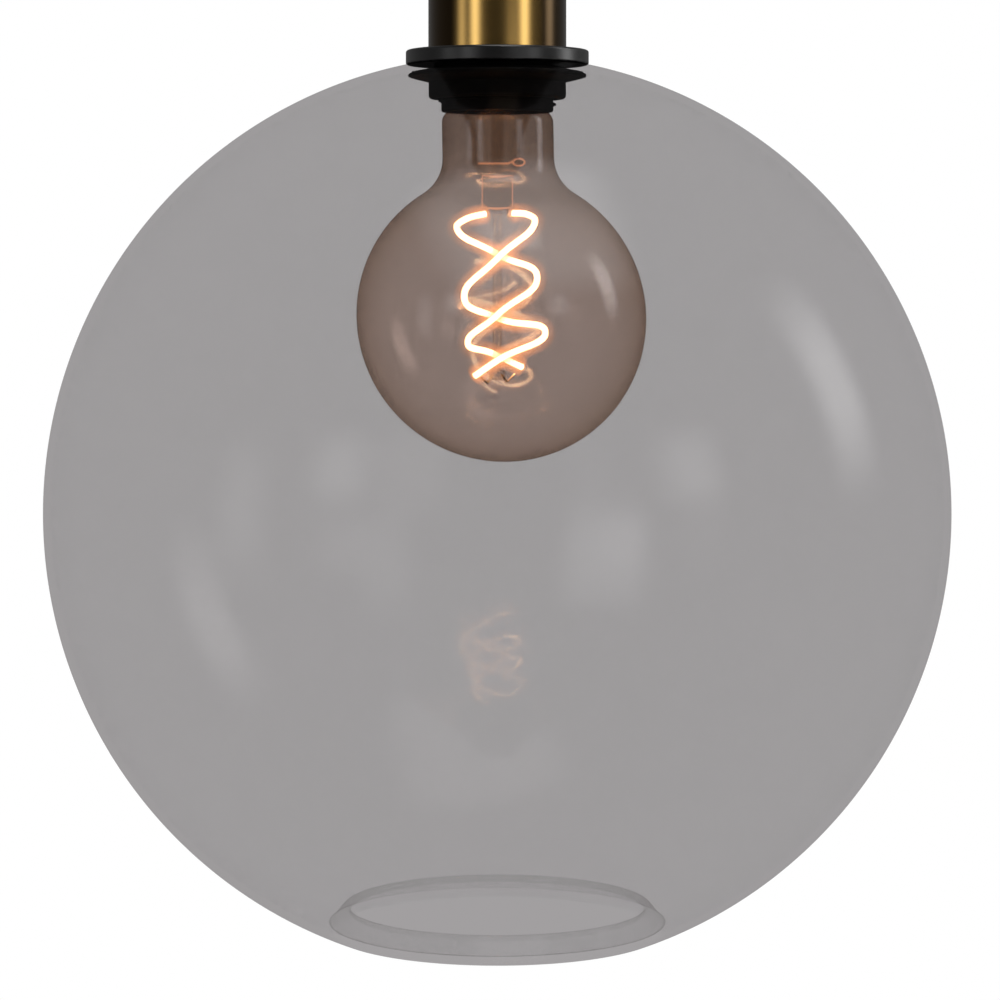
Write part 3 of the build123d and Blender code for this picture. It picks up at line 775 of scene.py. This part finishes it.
# Two lit strands, each a core in a soft sleeve.
strands = {
    "coreRadius": 0.00105,
    "sleeveRadius": 0.0038,
    "ringPoints": 16,
    "curveSteps": 24,  # between one given point and the next
    # angle about the axis in degrees, distance from it, height above the globe's centre
    "a": [
        (252, 0.0125, 0.0982),
        (222, 0.0134, 0.0967),
        (180, 0.0133, 0.0930),
        (90, 0.0136, 0.0850),
        (0, 0.0133, 0.0772),
        (-90, 0.0125, 0.0648),
        (-180, 0.0098, 0.0553),
        (-265, 0.0120, 0.0512),
        (-310, 0.0132, 0.0468),
    ],
    "b": [
        (66, 0.0130, 0.0988),
        (42, 0.0131, 0.0984),
        (0, 0.0124, 0.0950),
        (-90, 0.0128, 0.0834),
        (-180, 0.0110, 0.0704),
        (-270, 0.0130, 0.0634),
        (-360, 0.0160, 0.0590),
        (-450, 0.0130, 0.0498),
        (-486, 0.0128, 0.0446),
    ],
}


def smoothLine(points, steps):
    # Even samples on a smooth curve through given points.
    curve = bpy.data.curves.new("guide", "CURVE")
    curve.dimensions = "3D"
    curve.resolution_u = steps
    spline = curve.splines.new("BEZIER")
    spline.bezier_points.add(len(points) - 1)
    for knot, point in zip(spline.bezier_points, points):
        knot.co = point
        knot.handle_left_type = "AUTO"
        knot.handle_right_type = "AUTO"
    guide = bpy.data.objects.new("guide", curve)
    scene.collection.objects.link(guide)
    bpy.context.view_layer.update()
    mesh = bpy.data.meshes.new_from_object(guide)
    line = [v.co.copy() for v in mesh.vertices]
    bpy.data.objects.remove(guide)
    bpy.data.meshes.remove(mesh)
    return line


def tube(shape, line, radius, ringPoints):
    # Round tube along a line of points, closed by a low cone at each end.
    radiusAt = radius if callable(radius) else (lambda share: radius)
    up = Vector((0, 0, 1))
    rings = []
    count = len(line)
    for k, point in enumerate(line):
        ahead = line[min(k + 1, count - 1)] - line[max(k - 1, 0)]
        ahead.normalize()
        side = ahead.cross(up)
        if side.length < 1e-4:
            side = ahead.cross(Vector((1, 0, 0)))
        side.normalize()
        other = side.cross(ahead)
        size = radiusAt(k / (count - 1))
        rings.append(
            [
                shape.verts.new(
                    point
                    + side * (size * math.cos(2 * math.pi * n / ringPoints))
                    + other * (size * math.sin(2 * math.pi * n / ringPoints))
                )
                for n in range(ringPoints)
            ]
        )
    for first, second in zip(rings, rings[1:]):
        for n in range(ringPoints):
            following = (n + 1) % ringPoints
            face = shape.faces.new((first[n], first[following], second[following], second[n]))
            face.smooth = True
    for ring, end, inward in ((rings[0], line[0], line[1]), (rings[-1], line[-1], line[-2])):
        out = (end - inward).normalized()
        tip = shape.verts.new(end + out * radiusAt(0.0) * 0.5)
        for n in range(ringPoints):
            face = shape.faces.new((ring[n], ring[(n + 1) % ringPoints], tip))
            face.smooth = True


def finishPiece(name, shape, finishNames, body, stands=()):
    bmesh.ops.recalc_face_normals(shape, faces=shape.faces)
    mesh = bpy.data.meshes.new(name)
    shape.to_mesh(mesh)
    shape.free()
    piece = bpy.data.objects.new(name, mesh)
    scene.collection.objects.link(piece)
    for finish in finishNames:
        mesh.materials.append(finishes[finish])
    if stands:
        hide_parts(*stands)
    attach(piece, body)


def polar(angle, radius, height):
    turn = math.radians(angle)
    return Vector((radius * math.cos(turn), radius * math.sin(turn), globeCentre + height))


strandLines = {}
for letter in "ab":
    points = [polar(*point) for point in strands[letter]]
    strandLines[letter] = smoothLine(points, strands["curveSteps"])
    core = bmesh.new()
    tube(core, strandLines[letter], strands["coreRadius"], strands["ringPoints"])
    stands = [f"filament_{letter}"]
    finishPiece(f"strandCore_{letter}", core, ["litCore"], "lamp", stands)
    sleeve = bmesh.new()
    tube(sleeve, strandLines[letter], strands["sleeveRadius"], strands["ringPoints"])
    finishPiece(f"strandSleeve_{letter}", sleeve, ["litSleeve"], "lamp")
print("strands made")


# Painted reflection: glowing tubes along the rounded edges of the press that holds the lead wires,
# and round a lead wire's loop, stand in for the strands mirrored there.
press = {
    "top": 0.1112,
    "bottom": 0.1006,
    "half": 0.0050,
    "front": -0.0036,
    "edge": 0.00028,
    "thin": 0.6,  # share of the edge's radius at its ends
    "swell": 0.8,  # added to that share at its middle
    "sag": 0.0006,
    "sideFront": 0.3,
    "sideEdge": 0.7,
    "sideRows": 8,
    "rows": 24,
    "ringPoints": 8,
    "loopAt": (0.0072, -0.002, 0.1155),
    "loopRadius": 0.0019,
    "loopFrom": 150,
    "loopSweep": 330,
    "loopRows": 32,
    "loopRise": 0.0006,
    "loopFlat": 0.62,
    "tailStart": -0.0062,
    "tailStep": 0.0009,
    "tailBack": 0.0007,
    "tailDrop": 0.0004,
    "tailRows": 12,
    "wire": 0.00030,
}


# Painted reflection: a plain orange glow for the glints on the press and the wire loop.
def paintedGlint(look):
    mat, tree, out = newMaterial("paintedGlint")
    colour = (*look["colour"], 1)
    glow = addNode(tree, "ShaderNodeEmission", Color=colour, Strength=look["strength"])
    tree.links.new(glow.outputs[0], out.inputs["Surface"])
    return mat


finishes["paintedGlint"] = paintedGlint({"colour": (1.0, 0.50, 0.28), "strength": 1.9})


def makePressGlints(size):
    shape = bmesh.new()
    half, front = size["half"], size["front"]
    points = size["ringPoints"]

    def swollen(share):
        return size["edge"] * (size["thin"] + size["swell"] * math.sin(math.pi * share))

    for level in (size["bottom"], size["top"]):
        line = []
        for k in range(size["rows"] + 1):
            share = k / size["rows"]
            bow = math.sin(math.pi * share)
            height = globeCentre + level - size["sag"] * bow
            line.append(Vector((half * (2 * share - 1), front * bow, height)))
        tube(shape, line, swollen, points)
    for side in (-1, 1):
        line = []
        for k in range(size["sideRows"] + 1):
            level = size["bottom"] + (size["top"] - size["bottom"]) * k / size["sideRows"]
            line.append(Vector((side * half, front * size["sideFront"], globeCentre + level)))
        tube(shape, line, size["edge"] * size["sideEdge"], points)
    x, y, z = size["loopAt"]
    ring = size["loopRadius"]
    wire = [
        Vector(
            (
                size["tailStart"] + size["tailStep"] * k,
                y + size["tailBack"],
                globeCentre + z - size["tailDrop"],
            )
        )
        for k in range(size["tailRows"])
    ]
    for k in range(size["loopRows"] + 1):
        share = k / size["loopRows"]
        turn = math.radians(size["loopFrom"] - size["loopSweep"] * share)
        wire.append(
            Vector(
                (
                    x + ring * math.cos(turn),
                    y + size["loopRise"] * share,
                    globeCentre + z + size["loopFlat"] * ring * math.sin(turn),
                )
            )
        )
    tube(shape, wire, size["wire"], points)
    finishPiece("pressGlints", shape, ["paintedGlint"], "lamp")


makePressGlints(press)
print("press edges made")


# Finishes of the pieces that are shown as packed.
nodeFinish = {
    "antiqueBrass": ["cord_gland", "brass_cup", "earth_screw"],
    "blackCoat": ["cover_disc"],
    "blackMoulded": ["holder_dome", "holder_skirt", "shade_ring"],
    "nylon": ["cord_liner"],
    "zincSteel": [
        "gland_grub_screw",
        "lock_washer",
        "lock_nut",
        "earth_nut",
        "earth_tag",
        "dome_grub_screw",
        "terminal_screws",
    ],
    "nickelPlate": ["screw_shell", "lamp_cap"],
    "contactBrass": [
        "terminal_blocks",
        "centre_contact",
        "contact_rivets",
        "side_contact",
        "cap_tip",
    ],
    "steatite": ["contact_carrier"],
    "blackSilicone": ["upper_gasket", "lower_gasket"],
    "blackVitrite": ["cap_insulator"],
    "board": ["driver_board"],
    "component": ["driver_components"],
    "wire": ["lead_wires", "hook_wires"],
    "stemGlass": ["lamp_stem", "exhaust_tube"],
}
for finish, names in nodeFinish.items():
    for name in names:
        for slotHere in nodes[name].material_slots:
            slotHere.material = finishes[finish]
print("packed pieces finished")


# Room and light.
studio = {
    "floorDrop": 1.1,  # below the globe's centre
    "floorSize": 120.0,
    "white": 1.0,
    "mirroredFront": 0.02,
    "mirroredBack": 0.16,
    "mirroredFrom": -1.0,
    "mirroredTo": 0.6,
}


def makeFloor(size):
    mesh = bpy.data.meshes.new("floor")
    shape = bmesh.new()
    bmesh.ops.create_grid(shape, x_segments=4, y_segments=4, size=size["floorSize"] / 2)
    shape.to_mesh(mesh)
    shape.free()
    floor = bpy.data.objects.new("floor", mesh)
    floor.location = (0, 0, globeCentre - size["floorDrop"])
    scene.collection.objects.link(floor)
    floor.visible_glossy = False
    mat, tree, out = newMaterial("paleFloor")
    paint = principled(tree, out, (0.85, 0.85, 0.85), Roughness=0.9)
    seen = addNode(tree, "ShaderNodeEmission", Color=(1, 1, 1, 1), Strength=size["white"])
    path = tree.nodes.new("ShaderNodeLightPath")
    mix = tree.nodes.new("ShaderNodeMixShader")
    tree.links.new(path.outputs["Is Camera Ray"], mix.inputs[0])
    tree.links.new(paint.outputs[0], mix.inputs[1])
    tree.links.new(seen.outputs[0], mix.inputs[2])
    tree.links.new(mix.outputs[0], out.inputs["Surface"])
    mesh.materials.append(mat)


def makeWorld(size):
    # White where it is seen; dim, and dimmer in front, for what it lights and what surfaces mirror.
    world = bpy.data.worlds.new("studio")
    scene.world = world
    world.use_nodes = True
    tree = world.node_tree
    tree.nodes.clear()
    out = tree.nodes.new("ShaderNodeOutputWorld")
    white = addNode(tree, "ShaderNodeBackground", Color=(1, 1, 1, 1), Strength=size["white"])
    mirrored = addNode(tree, "ShaderNodeBackground", Strength=1.0)
    place = tree.nodes.new("ShaderNodeTexCoord")
    parts = tree.nodes.new("ShaderNodeSeparateXYZ")
    tree.links.new(place.outputs["Generated"], parts.inputs[0])
    ramp = tree.nodes.new("ShaderNodeValToRGB")
    ramp.color_ramp.elements[0].position = 0.0
    ramp.color_ramp.elements[0].color = (*[size["mirroredFront"]] * 3, 1)
    ramp.color_ramp.elements[1].position = 1.0
    ramp.color_ramp.elements[1].color = (*[size["mirroredBack"]] * 3, 1)
    reach = addNode(tree, "ShaderNodeMapRange")
    reach.inputs["From Min"].default_value = size["mirroredFrom"]
    reach.inputs["From Max"].default_value = size["mirroredTo"]
    tree.links.new(parts.outputs["Y"], reach.inputs["Value"])
    tree.links.new(reach.outputs[0], ramp.inputs[0])
    tree.links.new(ramp.outputs[0], mirrored.inputs["Color"])
    path = tree.nodes.new("ShaderNodeLightPath")
    seen = tree.nodes.new("ShaderNodeMixShader")
    tree.links.new(path.outputs["Is Camera Ray"], seen.inputs[0])
    tree.links.new(mirrored.outputs[0], seen.inputs[1])
    tree.links.new(white.outputs[0], seen.inputs[2])
    tree.links.new(seen.outputs[0], out.inputs["Surface"])


# Soft panels round the light, as seen from its centre: degrees to the right of the front, and up.
# Edge and ends say how much of the half width and of the half height fades out.
panels = {
    "stripRight": {
        "turn": 46, "rise": 12, "wide": 24, "high": 22,
        "glow": 1.9, "edge": 0.9, "ends": 0.8,
    },
    "stripLeft": {
        "turn": -37, "rise": 12, "wide": 22, "high": 22,
        "glow": 1.8, "edge": 0.9, "ends": 0.8,
    },
    "boxRight": {
        "turn": 25, "rise": -6, "wide": 26, "high": 32,
        "glow": 1.7, "edge": 0.6, "ends": 0.8,
    },
    "boxLeft": {
        "turn": -26, "rise": -8, "wide": 20, "high": 32,
        "glow": 0.9, "edge": 0.9, "ends": 0.8,
    },
    "sideRight": {
        "turn": 97, "rise": 20, "wide": 24, "high": 44,
        "glow": 4.8, "edge": 0.8, "ends": 0.9,
    },
    "sideLeft": {
        "turn": -62, "rise": 2, "wide": 22, "high": 40,
        "glow": 1.1, "edge": 0.9, "ends": 0.9,
    },
    "above": {
        "turn": 20, "rise": 74, "wide": 46, "high": 46,
        "glow": 2.4, "edge": 0.5, "ends": 0.5,
    },
}
panelDistance = 1.6


def panelFinish(name, size):
    # Even light that falls off softly towards the panel's edges.
    mat, tree, out = newMaterial(name)
    place = tree.nodes.new("ShaderNodeTexCoord")
    parts = tree.nodes.new("ShaderNodeSeparateXYZ")
    tree.links.new(place.outputs["Object"], parts.inputs[0])
    falls = []
    for axis in ("X", "Y"):
        away = addNode(tree, "ShaderNodeMath", operation="ABSOLUTE")
        tree.links.new(parts.outputs[axis], away.inputs[0])
        fall = addNode(tree, "ShaderNodeMapRange", interpolation_type="SMOOTHSTEP")
        fall.inputs["From Min"].default_value = 0.5
        soft = size["edge"] if axis == "X" else size["ends"]
        fall.inputs["From Max"].default_value = 0.5 - 0.5 * soft
        tree.links.new(away.outputs[0], fall.inputs["Value"])
        falls.append(fall)
    both = addNode(tree, "ShaderNodeMath", operation="MULTIPLY")
    tree.links.new(falls[0].outputs[0], both.inputs[0])
    tree.links.new(falls[1].outputs[0], both.inputs[1])
    strength = addNode(tree, "ShaderNodeMath", operation="MULTIPLY")
    strength.inputs[1].default_value = size["glow"]
    tree.links.new(both.outputs[0], strength.inputs[0])
    glow = addNode(tree, "ShaderNodeEmission", Color=(1, 1, 1, 1))
    tree.links.new(strength.outputs[0], glow.inputs["Strength"])
    tree.links.new(glow.outputs[0], out.inputs["Surface"])
    return mat


def makePanel(name, size):
    shape = bmesh.new()
    bmesh.ops.create_grid(shape, x_segments=1, y_segments=1, size=0.5)
    mesh = bpy.data.meshes.new(name)
    shape.to_mesh(mesh)
    shape.free()
    mesh.materials.append(panelFinish(name, size))
    panel = bpy.data.objects.new(name, mesh)
    turn, rise = math.radians(size["turn"]), math.radians(size["rise"])
    away = Vector(
        (math.sin(turn) * math.cos(rise), -math.cos(turn) * math.cos(rise), math.sin(rise))
    )
    panel.location = Vector((0, 0, globeCentre)) + away * panelDistance
    panel.rotation_euler = (-away).to_track_quat("Z", "Y").to_euler()
    panel.scale = (
        2 * panelDistance * math.tan(math.radians(size["wide"] / 2)),
        2 * panelDistance * math.tan(math.radians(size["high"] / 2)),
        1,
    )
    panel.visible_camera = False
    panel.visible_shadow = False
    scene.collection.objects.link(panel)


makeFloor(studio)
makeWorld(studio)
for name, size in panels.items():
    makePanel(name, size)
print("studio set")
